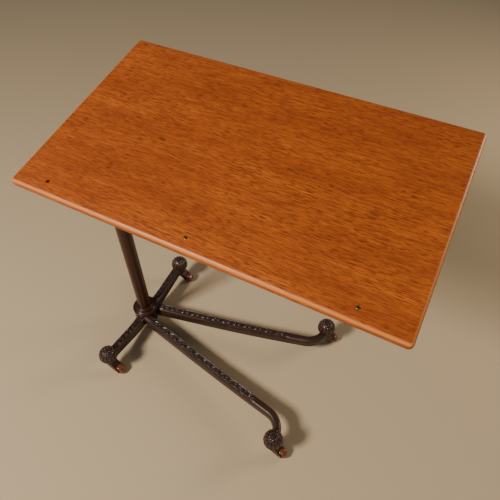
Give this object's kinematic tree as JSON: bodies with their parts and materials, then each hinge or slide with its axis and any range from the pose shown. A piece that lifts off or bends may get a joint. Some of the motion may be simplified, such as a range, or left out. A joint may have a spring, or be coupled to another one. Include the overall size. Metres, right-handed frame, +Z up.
{
  "type": "tilting reading table",
  "caption": "Reading table: a flat timber board that tilts, turns and rises on a post at its left end, over a cast iron base with ball feet and trailing casters.",
  "frame": {"origin": "on the floor, below the middle of the table's box with the board in the pictured pose", "axes": "+Z up, +X to the right along the board, away from the column, +Y to the back"},
  "size_m": [0.772, 0.4326, 0.8292],
  "materials": {
    "timber": "oiled and waxed, satin",
    "japanned_iron": "japanned dark brown, gloss",
    "japanned_steel": "japanned dark brown, gloss",
    "bright_steel": "turned, lightly worn",
    "dark_steel": "oil blacked",
    "brass": "aged, satin",
    "wheel_hardwood": "varnished, gloss"
  },
  "bodies": {
    "base": {"hub": "japanned_iron", "leg_short_front": "japanned_iron", "leg_short_back": "japanned_iron", "leg_long_front": "japanned_iron", "leg_long_back": "japanned_iron", "leg_bolt_short_front": "dark_steel", "leg_bolt_short_back": "dark_steel", "leg_bolt_long_front": "dark_steel", "leg_bolt_long_back": "dark_steel", "column_tube": "japanned_steel", "column_set_screw": "dark_steel", "column_collar": "japanned_iron", "collar_pin_front": "dark_steel", "collar_pin_back": "dark_steel", "column_bush": "brass", "pintle_short_front": "bright_steel", "pintle_short_back": "bright_steel", "pintle_long_front": "bright_steel", "pintle_long_back": "bright_steel"},
    "lift": {"post_guide_ring": "brass"},
    "head": {"inner_post": "bright_steel", "head_casting": "japanned_iron", "head_pin": "dark_steel", "upper_retaining_ring": "bright_steel", "lower_retaining_ring": "bright_steel"},
    "height_clamp": {"height_clamp_screw": "japanned_iron"},
    "tilt_clamp": {"tilt_clamp_screw": "japanned_iron"},
    "table": {"tilt_bar": "bright_steel", "bar_end_ring": "japanned_iron", "bar_end_pin": "dark_steel", "bracket_left": "japanned_iron", "bracket_right": "japanned_iron", "bracket_pin_left": "dark_steel", "bracket_pin_right": "dark_steel", "bracket_screw_left_1": "dark_steel", "bracket_screw_left_2": "dark_steel", "bracket_screw_left_3": "dark_steel", "bracket_screw_left_4": "dark_steel", "bracket_screw_right_1": "dark_steel", "bracket_screw_right_2": "dark_steel", "bracket_screw_right_3": "dark_steel", "bracket_screw_right_4": "dark_steel", "board": "timber", "ledge_socket_left": "brass", "ledge_socket_middle": "brass", "ledge_socket_right": "brass"},
    "caster_short_front": {"horn_short_front": "japanned_iron", "axle_short_front": "bright_steel"},
    "caster_short_back": {"horn_short_back": "japanned_iron", "axle_short_back": "bright_steel"},
    "caster_long_front": {"horn_long_front": "japanned_iron", "axle_long_front": "bright_steel"},
    "caster_long_back": {"horn_long_back": "japanned_iron", "axle_long_back": "bright_steel"},
    "wheel_short_front": {"wheel_short_front": "wheel_hardwood"},
    "wheel_short_back": {"wheel_short_back": "wheel_hardwood"},
    "wheel_long_front": {"wheel_long_front": "wheel_hardwood"},
    "wheel_long_back": {"wheel_long_back": "wheel_hardwood"}
  },
  "joints": [
    {"name": "height_slide", "type": "slide", "parent": "base", "child": "lift", "axis": [0, 0, 1], "range_m": [-0.0288, 0.3811]},
    {"name": "swivel", "type": "hinge", "parent": "lift", "child": "head", "pos_m": [-0.336, 0, 0.69], "axis": [0, 0, 1], "continuous": true},
    {"name": "tilt", "type": "hinge", "parent": "head", "child": "table", "pos_m": [-0.336, 0, 0.72889], "axis": [1, 0, 0], "range_deg": [-70.9, 49.1]},
    {"name": "height_clamp_turn", "type": "hinge", "parent": "base", "child": "height_clamp", "pos_m": [-0.369, 0, 0.63], "axis": [-1, 0, 0], "range_deg": [0, 270]},
    {"name": "tilt_clamp_turn", "type": "hinge", "parent": "head", "child": "tilt_clamp", "pos_m": [-0.295, 0, 0.7109], "axis": [0, 0, -1], "range_deg": [0, 270]},
    {"name": "caster_swivel_short_front", "type": "hinge", "parent": "base", "child": "caster_short_front", "pos_m": [-0.33, -0.19, 0.0457], "axis": [0, 0, 1], "continuous": true},
    {"name": "caster_swivel_short_back", "type": "hinge", "parent": "base", "child": "caster_short_back", "pos_m": [-0.33, 0.19, 0.0457], "axis": [0, 0, 1], "continuous": true},
    {"name": "caster_swivel_long_front", "type": "hinge", "parent": "base", "child": "caster_long_front", "pos_m": [0.198, -0.188, 0.0457], "axis": [0, 0, 1], "continuous": true},
    {"name": "caster_swivel_long_back", "type": "hinge", "parent": "base", "child": "caster_long_back", "pos_m": [0.198, 0.188, 0.0457], "axis": [0, 0, 1], "continuous": true},
    {"name": "wheel_spin_short_front", "type": "hinge", "parent": "caster_short_front", "child": "wheel_short_front", "pos_m": [-0.303, -0.19, 0.0155], "axis": [0, 1, 0], "continuous": true},
    {"name": "wheel_spin_short_back", "type": "hinge", "parent": "caster_short_back", "child": "wheel_short_back", "pos_m": [-0.30341, 0.19469, 0.0155], "axis": [-0.1736, 0.9848, 0], "continuous": true},
    {"name": "wheel_spin_long_front", "type": "hinge", "parent": "caster_long_front", "child": "wheel_long_front", "pos_m": [0.225, -0.188, 0.0155], "axis": [0, 1, 0], "continuous": true},
    {"name": "wheel_spin_long_back", "type": "hinge", "parent": "caster_long_back", "child": "wheel_long_back", "pos_m": [0.22138, 0.2015, 0.0155], "axis": [-0.5, 0.866, 0], "continuous": true}
  ]
}
